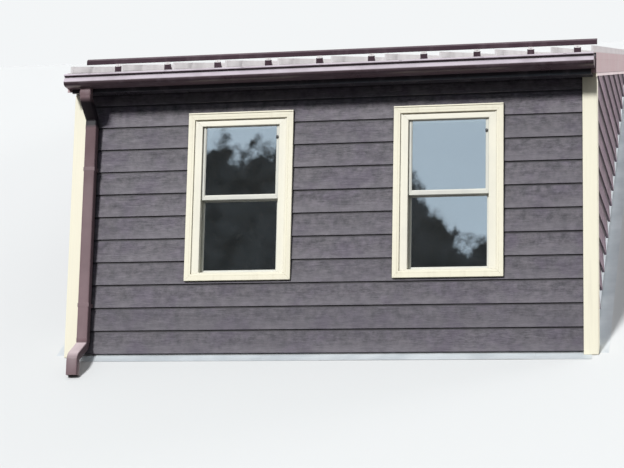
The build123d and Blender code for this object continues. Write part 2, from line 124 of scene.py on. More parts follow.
def coat(finish, *names):
    """Gives the named nodes of the frame their finish."""
    for name in names:
        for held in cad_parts[name].material_slots:
            held.material = finish


# Grain: long fibres along one direction, with finer ones between them.
fibres, given, out = start_group(
    "fibre grain", [("Stretch", "Vector", (1, 1, 1)), ("Warp", "Float", 0.4)], ("Tone", "Height"))
place = put(fibres, "TexCoord").outputs["Object"]
drawn = put(fibres, "VectorMath", {0: place, 1: given.outputs["Stretch"]},
            operation="MULTIPLY").outputs[0]
broad = put(fibres, "TexNoise", {"Vector": drawn, "Scale": 1.0, "Detail": 5.0, "Roughness": 0.62,
                                 "Distortion": given.outputs["Warp"]}).outputs[0]
close = put(fibres, "TexNoise", {"Vector": drawn, "Scale": 4.5, "Detail": 3.0,
                                 "Roughness": 0.7}).outputs[0]
feed(fibres, out, {"Tone": grade(fibres, broad, 0.3, 0.7),
                   "Height": reckon(fibres, "MULTIPLY_ADD", close, 0.4,
                                    reckon(fibres, "MULTIPLY", broad, 0.6))})


def sawn_timber(name, stretch):
    """Bare softwood with its grain along the piece."""
    finish, tree, shader = new_finish(name, Roughness=0.8)
    grain = use(tree, fibres, {"Stretch": stretch, "Warp": 0.8})
    wood = tint(tree, grain.outputs["Tone"], (0.36, 0.22, 0.115, 1), (0.62, 0.44, 0.26, 1))
    aged = tint(tree, grade(tree, clouds(tree, 0.9), 0.4, 0.62), wood, (0.4, 0.31, 0.21, 1))
    feed(tree, shader, {"Base Color": aged,
                        "Roughness": grade(tree, grain.outputs["Tone"], 0, 1, 0.7, 0.9)})
    relief(tree, shader, grain.outputs["Height"], 0.0012)
    return finish


coat(sawn_timber("rafter timber", (60, 3, 60)), "rafters")
coat(sawn_timber("roof boards", (4, 50, 50)), "roof_deck")
coat(sawn_timber("wall panels", (38, 38, 3)), "front_wall", "left_cheek_wall", "right_cheek_wall")


# Lining of the room: plasterboard with a coat of matt paint, screwed to the wall panels.
# The rolled paint leaves a fine stipple, and the joints are filled flush.
lining, tree, shader = new_finish("painted plasterboard", Roughness=0.85)
feed(tree, shader, {"Base Color": tint(tree, grade(tree, clouds(tree, 1.6, 3.0), 0.35, 0.65),
                                       (0.74, 0.72, 0.67, 1), (0.8, 0.79, 0.75, 1))})
relief(tree, shader, clouds(tree, 260.0), 0.0004)
coat(lining, "front_wall_lining", "cheek_linings")


# Corner posts: cream-painted trim boards that close the two front corners of the walls.
# Each is nailed up before the siding, and its arrises are slightly rounded by the paint.
# Stains and painted shade: where ambient occlusion finds a surface hidden, it is darkened in patches.
grime_and_shade, given, out = start_group(
    "joint grime", [("Reach", "Float", 0.04), ("Amount", "Float", 1.0)])
near = put(grime_and_shade, "AmbientOcclusion", {"Distance": given.outputs["Reach"]}, samples=8).outputs["AO"]
hidden = reckon(grime_and_shade, "MULTIPLY", grade(grime_and_shade, near, 0.85, 0.3),
                grade(grime_and_shade, clouds(grime_and_shade, 9.0, 4.0), 0.25, 0.6, 0.5, 1.0))
feed(grime_and_shade, out, {"Mask": reckon(grime_and_shade, "MULTIPLY", hidden, given.outputs["Amount"], clamp=True)})


def soil_and_shade(tree, clean, dirt_and_shade, reach, amount):
    """A clean colour darkened in its joints and corners, partly as stains and partly as painted shade."""
    return tint(tree, use(tree, grime_and_shade, {"Reach": reach, "Amount": amount}).outputs[0], clean, dirt_and_shade)


runs, given, out = start_group(
    "rain streaks", [("Spread", "Float", 14.0), ("Amount", "Float", 1.0)])
x, y, z = put(runs, "SeparateXYZ", {0: put(runs, "TexCoord").outputs["Object"]}).outputs
drawn_down = put(runs, "CombineXYZ", {0: x, 1: y, 2: reckon(runs, "MULTIPLY", z, 0.06)}).outputs[0]
lines = put(runs, "TexNoise", {"Vector": drawn_down, "Scale": given.outputs["Spread"], "Detail": 5.0,
                               "Roughness": 0.6}).outputs[0]
feed(runs, out, {"Mask": reckon(runs, "MULTIPLY", grade(runs, lines, 0.52, 0.75),
                                given.outputs["Amount"])})


def put_in_scene(name, data):
    """A new object of the scene."""
    made = bpy.data.objects.new(name, data)
    bpy.context.scene.collection.objects.link(made)
    return made


def set_piece(bm, name, finish, slot, *stands_for, sharp=35, even=False):
    """Makes a finished mesh into a piece; even keeps wide faces flat beside rounded arrises."""
    bmesh.ops.recalc_face_normals(bm, faces=bm.faces)
    mesh = bpy.data.meshes.new(name)
    bm.to_mesh(mesh)
    bm.free()
    mesh.polygons.foreach_set("use_smooth", [True] * len(mesh.polygons))
    mesh.set_sharp_from_angle(angle=math.radians(sharp))
    mesh.materials.append(finish)
    piece = put_in_scene(name, mesh)
    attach(piece, "root")
    if stands_for:
        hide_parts(*stands_for)
    if even:
        piece.modifiers.new("even faces", "WEIGHTED_NORMAL").keep_sharp = True
    return piece


def ease(bm, arrises, easing):
    """Rounds arrises as paint or a fold rounds them."""
    bmesh.ops.bevel(bm, geom=arrises, offset=easing, offset_type="OFFSET", segments=2,
                    profile=0.5, affect="EDGES", clamp_overlap=True)


def eased_copy(node, name, finish, slot, easing):
    """The node's own shape with its arrises rounded; it stands for the node."""
    bm = bmesh.new()
    bm.from_mesh(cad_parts[node].data)
    bmesh.ops.remove_doubles(bm, verts=bm.verts, dist=0.00003)
    bmesh.ops.dissolve_limit(bm, angle_limit=math.radians(0.5), verts=bm.verts, edges=bm.edges)
    ease(bm, [e for e in bm.edges if len(e.link_faces) == 2 and e.calc_face_angle(0) > 0.6], easing)
    return set_piece(bm, name, finish, slot, node, sharp=50, even=True)


def painted(name, colour, shade, stretch, brush=0.00025, **constants):
    """Brush-painted trim: faint brush marks along it, stains and painted shade in its joints, and light
    rain streaks.
    """
    finish, tree, shader = new_finish(name, **constants)
    marks = use(tree, fibres, {"Stretch": stretch, "Warp": 0.2})
    tone = tint(tree, marks.outputs["Tone"], colour, [c * 0.965 for c in colour[:3]] + [1])
    streaked = tint(tree, use(tree, runs, {"Spread": 16.0, "Amount": 0.25}).outputs[0], tone, shade)
    feed(tree, shader, {"Base Color": soil_and_shade(tree, streaked, shade, 0.03, 0.55),
                        "Roughness": grade(tree, marks.outputs["Height"], 0.3, 0.7, 0.4, 0.55)})
    relief(tree, shader, marks.outputs["Height"], brush)
    return finish


cream = (0.87, 0.83, 0.665, 1)
cream_shade = (0.5, 0.44, 0.33, 1)
post_paint = painted("cream paint on the posts", cream, cream_shade, (90, 90, 3))
for side in ("left", "right"):
    eased_copy(side + "_corner_post", side + "_corner_board", post_paint, "cream_trim", 0.003)


# Lap siding: twelve courses of wood-grained boards, 178 mm to the weather, painted a purple-grey.
# Each is nailed over the one below, so its thick lower edge stands out and throws a thin shadow.
exposure, front_courses = 0.178, 12
butt, lap, rounded_foot = 0.019, 0.008, 0.0022
siding_foot, siding_head = 0.012, 2.057
wall_face, cheek_face, front_reach = -0.051, 2.007, 1.929
front_spacing, cheek_spacing = 0.07, 0.09
casing_feet, casing_heads = 0.566, 1.882
window_middles = {"left": -0.683, "right": 0.929}
half_casing = 0.416


def lay_board(bm, stations, rows, depth, place, gone=None, back=0.0):
    """One board as a grid of its face, its back and its edges, less the cells cut away."""
    face, rear = {}, {}
    cells = {(i, j) for i in range(len(stations) - 1) for j in range(len(rows) - 1)
             if not (gone and gone((stations[i] + stations[i + 1]) / 2, (rows[j] + rows[j + 1]) / 2))}
    for i, j in sorted(cells):
        quad = ((i, j), (i + 1, j), (i + 1, j + 1), (i, j + 1))
        for a, b in quad:
            if (a, b) not in face:
                s, z = stations[a], rows[b]
                face[a, b] = bm.verts.new(place(s, depth(s, z), z))
                rear[a, b] = bm.verts.new(place(s, back, z))
        bm.faces.new([face[k] for k in quad])
        bm.faces.new([rear[k] for k in reversed(quad)])
        for n, (di, dj) in enumerate(((0, -1), (1, 0), (0, 1), (-1, 0))):
            if (i + di, j + dj) not in cells:
                a, b = quad[n], quad[(n + 1) % 4]
                bm.faces.new([face[b], face[a], rear[a], rear[b]])


def steps_between(low, high, pitch, extra=()):
    """Even stations between two ends, with the extra ones put in."""
    count = max(1, round((high - low) / pitch))
    found = [low + (high - low) * n / count for n in range(count + 1)]
    for e in extra:
        if low < e < high and min(abs(e - f) for f in found) > 0.0005:
            found.append(e)
    return sorted(found)


def course_rows(foot, head, extra=()):
    """Heights across one course: close together at its rounded lower edge."""
    edge = [foot + d for d in (0, 0.0007, rounded_foot, 0.012) if foot + d < head - 0.001]
    return sorted(set(edge + [e for e in extra if foot < e < head] +
                      [foot + (head - foot) * k / 5 for k in (2, 3, 4, 5)]))


def course_depth(foot, seed):
    """How far the face of a board stands out, with its rounded edge and slight warp."""
    def depth(s, z):
        up = z - foot
        rounding = 0.0024 * max(0.0, 1 - up / rounded_foot) ** 2
        warp = 0.0009 * noise.noise(Vector((s * 1.7, seed, up * 4)))
        return butt - (butt - lap) * up / exposure - rounding + warp
    return depth


def mark_tone(bm, before, value, foot):
    """Gives one board its own shade of the paint, and notes how far up the board each point is."""
    layers = bm.verts.layers.float
    tone = layers.get("board_tone") or layers.new("board_tone")
    rise = layers.get("board_rise") or layers.new("board_rise")
    bm.verts.ensure_lookup_table()
    for v in bm.verts[before:]:
        v[tone] = value
        v[rise] = (v.co.z - foot) / exposure


def lap_paint(name, butt_shadow_span, tint_and_light, sheen):
    """Weathered paint with wood grain and blotches, painted light low on each board, and painted shadow
    high on it, growing between two shares of its rise.
    """
    finish, tree, shader = new_finish(name, Specular_IOR_Level=sheen)
    grain = use(tree, fibres, {"Stretch": (7, 7, 62), "Warp": 0.9})
    fine = use(tree, fibres, {"Stretch": (22, 22, 240), "Warp": 0.5})
    board = put(tree, "Attribute", attribute_name="board_tone").outputs["Fac"]
    rise = put(tree, "Attribute", attribute_name="board_rise").outputs["Fac"]
    flecks = clouds(tree, 17.0, 6.0, 0.62)
    cast = clouds(tree, 5.5, 3.0)
    base = tint(tree, grain.outputs["Tone"], (0.072, 0.062, 0.077, 1), (0.158, 0.14, 0.168, 1))
    warmer = tint(tree, grade(tree, cast, 0.4, 0.62, 0.0, 0.6), base, (0.128, 0.122, 0.12, 1))
    blotched = tint(tree, grade(tree, flecks, 0.36, 0.66), (0.33, 0.32, 0.345, 1), (1.45, 1.4, 1.44, 1))
    mottled = tint(tree, 1.0, warmer, blotched, "MULTIPLY")
    purple = tint(tree, grade(tree, cast, 0.47, 0.3, 0.0, 0.55), mottled, (0.112, 0.084, 0.128, 1))
    # Painted light: each board is made lighter toward its foot, in patches, away from the shade of the
    # butt above.
    lit_toward_foot = reckon(tree, "MULTIPLY", grade(tree, rise, 0.55, 0.1), grade(tree, cast, 0.3, 0.6, 0.1, 0.6))
    lightened_toward_foot = tint(tree, lit_toward_foot, purple, (0.24, 0.225, 0.245, 1))
    worn_and_painted_light = tint(tree, reckon(tree, "MULTIPLY", grade(tree, fine.outputs["Tone"], 0.45, 1.0),
                             grade(tree, clouds(tree, 1.3, 4.0), 0.35, 0.65, 0.15, 0.7)),
                lightened_toward_foot, (0.31, 0.29, 0.315, 1))
    shifted = tint(tree, board, worn_and_painted_light, (0.077, 0.07, 0.084, 1))
    # A tint over the whole paint: it darkens the front's boards, and makes the cheeks' lighter and redder
    # as painted light.
    tinted_and_lit = tint(tree, 1.0, shifted, tint_and_light, "MULTIPLY")
    # Painted shadow: a dark band under each butt, growing from one share of the board's rise to the next.
    butt_shadowed = tint(tree, grade(tree, rise, *butt_shadow_span, 0.0, 0.92), tinted_and_lit, (0.018, 0.013, 0.017, 1))
    # Stains and painted shade darken its joints.
    feed(tree, shader, {"Base Color": soil_and_shade(tree, butt_shadowed, (0.016, 0.014, 0.016, 1), 0.03, 1.2),
                        "Roughness": grade(tree, grain.outputs["Tone"], 0, 1, 0.62, 0.5)})
    relief(tree, shader, reckon(tree, "MULTIPLY_ADD", grain.outputs["Height"], 0.7,
                                reckon(tree, "MULTIPLY", fine.outputs["Height"], 0.3)), 0.0022)
    return finish


front_paint = lap_paint("purple-grey siding", butt_shadow_span=(0.905, 0.945), tint_and_light=(0.81, 0.79, 0.825, 1),
                        sheen=0.4)
# The cheeks' copy is lit in paint, lighter and redder, with wider painted shadows under its butts and less
# sheen.
cheek_paint = lap_paint("purple-grey cheek siding", butt_shadow_span=(0.68, 0.8), tint_and_light=(1.5, 1.2, 1.3, 1),
                        sheen=0.12)

bm = bmesh.new()
edges = [x + s * half_casing for x in window_middles.values() for s in (-1, 1)]


def in_window(x, z):
    """Whether a place on the front wall lies inside a casing."""
    return casing_feet < z < casing_heads and any(
        abs(x - middle) < half_casing for middle in window_middles.values())


for n in range(front_courses):
    foot = siding_foot + n * exposure
    head = min(foot + exposure, siding_head)
    before = len(bm.verts)
    lay_board(bm, steps_between(-front_reach, front_reach, front_spacing, edges),
              course_rows(foot, head, (casing_feet, casing_heads)), course_depth(foot, n * 3.7),
              lambda s, out, z: (s, wall_face - out, z), in_window)
    lower_down = 0.022 * (front_courses - 1 - n)
    mark_tone(bm, before, 0.15 + lower_down + 0.25 * noise.noise(Vector((n * 1.37, 2.1, 0))), foot)
set_piece(bm, "front_boards", front_paint, "siding", "front_siding")

main_slope, roof_slope = 0.75, 0.27732
roof_at_wall = 2.248
mould_foot = roof_at_wall - 0.1796
bare_strip = 0.115
post_back, cheek_courses, shortest_board = 0.027, 19, 0.02
for side, sign in (("left", -1), ("right", 1)):
    bm = bmesh.new()
    far_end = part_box(side + "_cheek_siding")[1].y
    for n in range(cheek_courses):
        foot = siding_foot + n * exposure
        end = min((foot - bare_strip) / main_slope + wall_face, far_end)
        start = max(post_back, (foot - mould_foot) / roof_slope + wall_face)
        if end - start < shortest_board:
            continue
        before = len(bm.verts)
        lay_board(bm, steps_between(start, end, cheek_spacing), course_rows(foot, foot + exposure),
                  course_depth(foot, n * 2.9 + 50 * sign),
                  lambda s, out, z: (sign * (cheek_face + out), s, z))
        mark_tone(bm, before, 0.2 + 0.28 * noise.noise(Vector((n * 1.21, 7.7, sign))), foot)
    bmesh.ops.bisect_plane(bm, geom=[*bm.verts, *bm.edges, *bm.faces], dist=0.00001,
                           plane_co=(0, wall_face, mould_foot), plane_no=(0, -roof_slope, 1),
                           clear_outer=True)
    bmesh.ops.holes_fill(bm, edges=[e for e in bm.edges if len(e.link_faces) == 1])
    set_piece(bm, side + "_cheek_boards", cheek_paint, "siding", side + "_cheek_siding")


# Window casings: a ring of cream-painted trim boards round each window, mitred at the corners.
# They stand 38 mm off the wall on blocks, and the siding is cut to butt against them.
hairline = 0.0004


def join_rings(bm, one, two):
    """A band of faces between two rings."""
    for k in range(len(one)):
        j = (k + 1) % len(one)
        bm.faces.new([one[k], one[j], two[j], two[k]])


def stack_rings(bm, rings):
    """A solid of rings of points, each joined to the next, closed at both ends."""
    for one, two in zip(rings, rings[1:]):
        join_rings(bm, one, two)
    bm.faces.new(list(reversed(rings[0])))
    bm.faces.new(rings[-1])


def ring_side(bm, outer, inner, profile, side):
    """One mitred side of a ring between two rectangles (x0, z0, x1, z1); profile is (share, y)."""
    ends = []
    for corner in (side, (side + 1) % 4):
        pick = ((0, 1), (2, 1), (2, 3), (0, 3))[corner]
        points = []
        for share, y in profile:
            x = outer[pick[0]] + (inner[pick[0]] - outer[pick[0]]) * share
            z = outer[pick[1]] + (inner[pick[1]] - outer[pick[1]]) * share
            points.append(Vector((x, y, z)))
        ends.append(points)
    run = (ends[1][0] - ends[0][0]).normalized() * hairline
    stack_rings(bm, [[bm.verts.new(p + run) for p in ends[0]], [bm.verts.new(p - run) for p in ends[1]]])


def mitred_ring(name, outer, inner, profile, finish, slot, *stands_for, head=None):
    """Four mitred sides as one piece; the head may have a profile of its own."""
    bm = bmesh.new()
    for side, line in enumerate((profile, profile, head or profile, profile)):
        ring_side(bm, outer, inner, line, side)
    set_piece(bm, name, finish, slot, *stands_for, even=True)


def rounded_profile(points, radii, steps=3):
    """A closed profile with its corners rounded; a radius of zero keeps a corner sharp."""
    made = []
    for k, r in enumerate(radii):
        here, before, after = (Vector(points[(k + d) % len(points)]) for d in (0, -1, 1))
        if not r:
            made.append(tuple(here))
            continue
        a = here + (before - here).normalized() * r
        b = here + (after - here).normalized() * r
        for n in range(steps + 1):
            t = n / steps
            made.append(tuple((1 - t) ** 2 * a + 2 * t * (1 - t) * here + t * t * b))
    return made


def drawn_out(bm, outline, low, high, place):
    """A closed outline drawn out between two stations, with its two ends."""
    stack_rings(bm, [[bm.verts.new(place(s, p)) for p in outline] for s in (low, high)])


def along_side(s, p):
    """A point of an outline that is drawn out from left to right."""
    return (s, p[0], p[1])


casing_face, head_casing, casing_proud = 0.051, 0.056, 0.038
casing_paint = painted("cream paint on the casings", cream, cream_shade, (40, 40, 40),
                       Roughness=0.45)
front = wall_face - casing_proud
flat = rounded_profile(
    [(0, wall_face), (0, front), (0.033, front), (0.0345, front + 0.0012), (0.036, front),
     (casing_face, front), (casing_face, wall_face)],
    (0, 0.003, 0, 0, 0, 0.0025, 0))
cap_back, cap_front, cap_rear = wall_face - 0.002, front - 0.006, front - 0.0002
cap_line = [(y, casing_heads + z) for y, z in (
    (cap_back, -0.0008), (cap_front + 0.001, -0.0035), (cap_front, -0.005), (cap_front, -0.011),
    (cap_front + 0.0015, -0.0125), (cap_rear, -0.013), (cap_rear, -0.0065), (cap_back, -0.0045))]
for side, middle in window_middles.items():
    outer = (middle - half_casing, casing_feet, middle + half_casing, casing_heads)
    inner = (outer[0] + casing_face, outer[1] + casing_face, outer[2] - casing_face,
             outer[3] - head_casing)
    mitred_ring(side + "_casing", outer, inner, [(p / casing_face, y) for p, y in flat],
                casing_paint, "cream_trim", side + "_window_casing")
    bm = bmesh.new()
    drawn_out(bm, cap_line, outer[0] + hairline, outer[2] - hairline, along_side)
    set_piece(bm, side + "_head_cap", casing_paint, "cream_trim")


# Window frames and sashes: moulded vinyl, welded at the corners, with sealed glass units.
# The upper sash stands in front; a flat lintel and thick jambs cover most of both sashes' edges.
frame_front, lining_back = -0.077, 0.064
jamb, lintel, head_lip, sill = 0.060, 0.038, 0.018, 0.014
sash_front, sash_depth, sash_gap = -0.057, 0.035, 0.002
stiles = {"upper": 0.027, "lower": 0.0205}
rail_trim = {"upper": 0.010, "lower": 0.0006}
top_rail, bottom_rail, meeting_rail = 0.016, 0.024, 0.048
sash_hem = 0.0006
jamb_profile = [(0, lining_back), (0, frame_front + 0.0015), (0.04, frame_front),
                (0.55, frame_front), (0.57, frame_front + 0.0005), (0.59, frame_front),
                (0.955, frame_front), (1, frame_front + 0.002), (1, lining_back)]
head_profile = [(0, lining_back), (0, frame_front + 0.014), (0.27, frame_front + 0.014),
                (0.28, frame_front + 0.001), (0.31, frame_front), (0.955, frame_front),
                (1, frame_front + 0.002), (1, lining_back)]


def moulded_vinyl(name, cloud, detail, tones, dirt_and_shade, shade, rough, stipple):
    """Moulded vinyl: clouded by the weather, darkened in its corners by stains and painted shade, with a
    fine stipple.
    """
    finish, tree, shader = new_finish(name, Specular_IOR_Level=0.5)
    haze = clouds(tree, cloud, detail)
    faded = tint(tree, grade(tree, haze, 0.35, 0.65), *tones)
    feed(tree, shader, {"Base Color": soil_and_shade(tree, faded, shade, 0.02, dirt_and_shade),
                        "Roughness": grade(tree, haze, 0.3, 0.7, *rough)})
    relief(tree, shader, clouds(tree, 300.0), stipple)
    return finish


frame_vinyl = moulded_vinyl(
    "cream vinyl", cloud=5.0, detail=4.0, tones=((0.8, 0.775, 0.66, 1), (0.84, 0.81, 0.68, 1)),
    dirt_and_shade=0.8, shade=(0.33, 0.3, 0.24, 1), rough=(0.32, 0.45), stipple=0.0001)
sash_vinyl = moulded_vinyl(
    "chalky sash vinyl", cloud=6.0, detail=5.0, tones=((0.6, 0.6, 0.55, 1), (0.68, 0.68, 0.61, 1)),
    dirt_and_shade=0.9, shade=(0.2, 0.19, 0.17, 1), rough=(0.4, 0.55), stipple=0.0)

glazing, tree, shader = new_finish(
    "window glass", Metallic=0.0, Transmission_Weight=1.0, IOR=2.2, Coat_Weight=1.0, Coat_IOR=3.2,
    Coat_Roughness=0.0)
film = clouds(tree, 3.0, 5.0)
feed(tree, shader, {"Base Color": tint(tree, grade(tree, film, 0.35, 0.7), (0.3, 0.34, 0.36, 1),
                                       (0.36, 0.4, 0.41, 1)),
                    "Roughness": grade(tree, film, 0.4, 0.8, 0.0, 0.02)})
relief(tree, shader, clouds(tree, 2.2), 0.0006)

latch_black, tree, shader = new_finish("black moulded latch", Roughness=0.4)
feed(tree, shader, {"Base Color": tint(tree, clouds(tree, 400.0), (0.03, 0.03, 0.03, 1),
                                       (0.06, 0.058, 0.055, 1))})

for side, middle in window_middles.items():
    opening = (middle - half_casing + casing_face, casing_feet + casing_face,
               middle + half_casing - casing_face, casing_heads - casing_face)
    daylight = (opening[0] + jamb, opening[1] + sill, opening[2] - jamb, opening[3] - lintel)
    clear = daylight[:3] + (daylight[3] - head_lip,)
    mitred_ring(side + "_frame", opening, clear, jamb_profile, frame_vinyl, "sash_vinyl",
                side + "_window_frame", head=head_profile)
    waist = (daylight[1] + daylight[3]) / 2
    for which, near, low, high, foot_rail, head_rail in (
            ("upper", sash_front, waist - meeting_rail / 2, daylight[3], meeting_rail, top_rail),
            ("lower", sash_front + sash_depth + sash_gap, daylight[1], waist + meeting_rail / 2,
             bottom_rail, meeting_rail)):
        outer = (daylight[0] + sash_hem, low + rail_trim[which], daylight[2] - sash_hem,
                 high - sash_hem)
        stile = stiles[which]
        inner = (daylight[0] + stile, low + foot_rail, daylight[2] - stile, high - head_rail)
        mitred_ring(side + "_" + which + "_stiles", outer, inner,
                    [(0, near + sash_depth), (0, near + 0.0015), (0.04, near), (0.72, near),
                     (0.78, near + 0.003), (0.94, near + 0.0045), (1, near + 0.0065),
                     (1, near + sash_depth - 0.006), (0.75, near + sash_depth)],
                    sash_vinyl, "sash_vinyl", side + "_window_" + which + "_sash")
    coat(glazing, side + "_window_glass")

    catch_x, catch_z = middle + 0.285, 1.680
    bm = bmesh.new()
    rings = []
    for radius, y in ((0.010, 0), (0.0105, -0.002), (0.010, -0.006), (0.0075, -0.008), (0.003, -0.0085)):
        rings.append([bm.verts.new((catch_x + radius * math.cos(a), sash_front + y - 0.0001,
                                    catch_z + 1.3 * radius * math.sin(a)))
                      for a in (math.tau * k / 20 for k in range(20))])
    stack_rings(bm, rings)
    set_piece(bm, side + "_sash_stop", latch_black, "bar_metal")


# Eave and rakes: boards wrapped in bent sheet, enamelled dark brown, with a mould under each rake.
# The sheet is nailed through its folds, and wide faces ripple a little between the nails.
# Chalk and painted sky light: a mask of faces that tilt up, in patches.
chalk_and_sky_light, given, out = start_group(
    "settled chalk", [("From", "Float", 0.15), ("To", "Float", 0.8), ("Amount", "Float", 1.0)])
normal = put(chalk_and_sky_light, "NewGeometry").outputs["Normal"]
facing_up = put(chalk_and_sky_light, "SeparateXYZ", {0: normal}).outputs[2]
lying = grade(chalk_and_sky_light, facing_up, given.outputs["From"], given.outputs["To"])
uneven = reckon(chalk_and_sky_light, "MULTIPLY", lying,
                grade(chalk_and_sky_light, clouds(chalk_and_sky_light, 7.0, 5.0), 0.3, 0.6, 0.75, 1.0))
feed(chalk_and_sky_light, out, {"Mask": reckon(chalk_and_sky_light, "MULTIPLY", uneven, given.outputs["Amount"],
                                      clamp=True)})

rubbed, given, out = start_group(
    "rubbed edges", [("Width", "Float", 0.002), ("Amount", "Float", 1.0)])
soft = put(rubbed, "Bevel", {"Radius": given.outputs["Width"]}, samples=4).outputs[0]
sharp = put(rubbed, "NewGeometry").outputs["Normal"]
apart = put(rubbed, "VectorMath", {0: soft, 1: sharp}, operation="DISTANCE").outputs["Value"]
edge = grade(rubbed, apart, 0.08, 0.5)
feed(rubbed, out, {"Mask": reckon(rubbed, "MULTIPLY", edge, given.outputs["Amount"], clamp=True)})


def enamel(name, colour, chalky, rough=0.3, dust_and_light=0.8, ripple=0.0008, tilt=(0.2, 0.9), shade_band=None,
           **constants):
    """Baked enamel on sheet: rippled, rubbed at folds, chalk and painted light on top, painted shade
    between two heights.
    """
    finish, tree, shader = new_finish(name, **constants)
    cloud = clouds(tree, 3.1, 6.0, 0.6)
    faded = tint(tree, grade(tree, cloud, 0.35, 0.7), colour,
                 [c * 1.25 + 0.01 for c in colour[:3]] + [1])
    # Its pale colour serves for rain streaks, rubbed folds, and chalk with painted sky light on top.
    streaked = tint(tree, use(tree, runs, {"Spread": 9.0, "Amount": 0.1}).outputs[0], faded, chalky)
    chalk_and_light = use(tree, chalk_and_sky_light, {"From": tilt[0], "To": tilt[1], "Amount": dust_and_light}).outputs[0]
    # Faces that tilt up turn pale: chalk, and light from the sky painted in.
    settled_and_lit = tint(tree, chalk_and_light, streaked, chalky)
    # Stains and painted shade darken its joints.
    shaded_and_soiled = soil_and_shade(tree, settled_and_lit, (0.02, 0.017, 0.018, 1), 0.02, 0.5)
    worn_and_painted_light = tint(tree, use(tree, rubbed, {"Width": 0.0015, "Amount": 0.35}).outputs[0], shaded_and_soiled, chalky)
    # Painted shade: a dark band between two heights, softened at both edges.
    if shade_band:
        foot, head = shade_band
        height = put(tree, "SeparateXYZ", {0: put(tree, "TexCoord").outputs["Object"]}).outputs[2]
        in_painted_shade = reckon(tree, "MULTIPLY", grade(tree, height, foot - 0.015, foot + 0.015),
                         grade(tree, height, head - 0.02, head + 0.02, 1, 0))
        worn_and_painted_light = tint(tree, in_painted_shade, worn_and_painted_light, (0.016, 0.012, 0.016, 1))
    gloss = grade(tree, cloud, 0.3, 0.7, rough - 0.05, rough + 0.08)
    feed(tree, shader, {"Base Color": worn_and_painted_light,
                        "Roughness": reckon(tree, "MULTIPLY_ADD", chalk_and_light, 0.3, gloss)})
    relief(tree, shader, clouds(tree, 2.6, 1.0), ripple * 8, 0.4)
    return finish


# Painted shade darkens the eave's enamel; painted sky sheen lightens the rakes' and makes the moulds'
# pale.
shaded_brown = enamel("brown enamel under the eave", (0.02, 0.017, 0.022, 1), (0.6, 0.52, 0.57, 1),
                      dust_and_light=0.3)
sheen_lit_brown = enamel("brown enamel lightened as painted sky sheen", (0.32, 0.2, 0.21, 1), (0.86, 0.72, 0.72, 1), rough=0.34)
sheen_lit_mould = enamel("enamel painted pale as sky reflection", (0.8, 0.67, 0.68, 1), (0.87, 0.78, 0.78, 1), rough=0.34)
for side in ("left", "right"):
    eased_copy(side + "_rake_fascia", side + "_rake_board", sheen_lit_brown, "brown_metal", 0.0015)
    eased_copy(side + "_rake_trim", side + "_rake_edge", sheen_lit_brown, "brown_metal", 0.0006)
eased_copy("rake_moulds", "rake_mould_sheet", sheen_lit_mould, "brown_metal", 0.0015)
for node in ("front_fascia", "eave_trim"):
    eased_copy(node, node + "_sheet", shaded_brown, "brown_metal", 0.0008)

soffit_low, soffit_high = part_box("front_soffit")
groove_pitch, groove_half, groove_deep = 0.1, 0.004, 0.004
outline = [(soffit_low.x, soffit_high.z), (soffit_low.x, soffit_low.z)]
for n in range(1, int((soffit_high.x - soffit_low.x) / groove_pitch) + 1):
    x = soffit_low.x + n * groove_pitch
    outline += [(x - groove_half, soffit_low.z), (x, soffit_low.z + groove_deep),
                (x + groove_half, soffit_low.z)]
outline += [(soffit_high.x, soffit_low.z), (soffit_high.x, soffit_high.z)]
bm = bmesh.new()
drawn_out(bm, outline, soffit_low.y, soffit_high.y, lambda s, p: (p[0], s, p[1]))
set_piece(bm, "soffit_panels", shaded_brown, "brown_metal", "front_soffit")


# Roof: long pans of pale grey enamelled steel, joined by tall folded seams down the slope.
# A flashing of the same sheet laps on to the main roof at its head.
pale_roof = enamel("pale grey enamel", (0.54, 0.52, 0.525, 1), (0.58, 0.565, 0.565, 1), rough=0.5,
                   Specular_IOR_Level=0.3)
coat(pale_roof, "metal_roof", "head_flashing")


# Fillers: cream-painted wedges of board that close the corners between the posts and the rakes.
# Each is cut to the slope of the rake and nailed on top of its post.
post_head, filler_near, filler_far = 2.0574, -0.0807, 0.0268
filler_faces = (cheek_face + 0.0003, cheek_face + 0.0245)
rake_near, rake_foot = -0.24, 2.042
wedge = [(filler_near, post_head), (filler_far, post_head)]
wedge += [(y, rake_foot + roof_slope * (y - rake_near) - hairline) for y in (filler_far, filler_near)]
for side, sign in (("left", -1), ("right", 1)):
    bm = bmesh.new()
    drawn_out(bm, wedge, *filler_faces, lambda s, p: (sign * s, p[0], p[1]))
    ease(bm, list(bm.edges), 0.0015)
    set_piece(bm, side + "_post_filler", post_paint, "cream_trim", even=True)


# Snow bar: an angle of dark enamelled steel on feet that clamp to the middle of each pan.
# Each foot is a base plate with a ribbed web and two bolts, and a pale jaw on it grips the bar.
def bolt_head(bm, at, along, radius, height, sides=6):
    """A bolt or screw head with a chamfered top, standing on a surface at a point."""
    along = Vector(along).normalized()
    across = along.orthogonal().normalized()
    third = along.cross(across)
    rings = []
    for r, h in ((radius, -0.0006), (radius, height * 0.75), (radius * 0.8, height)):
        rings.append([bm.verts.new(Vector(at) + along * h + r * (
            math.cos(a) * across + math.sin(a) * third))
            for a in (math.tau * k / sides for k in range(sides))])
    stack_rings(bm, rings)


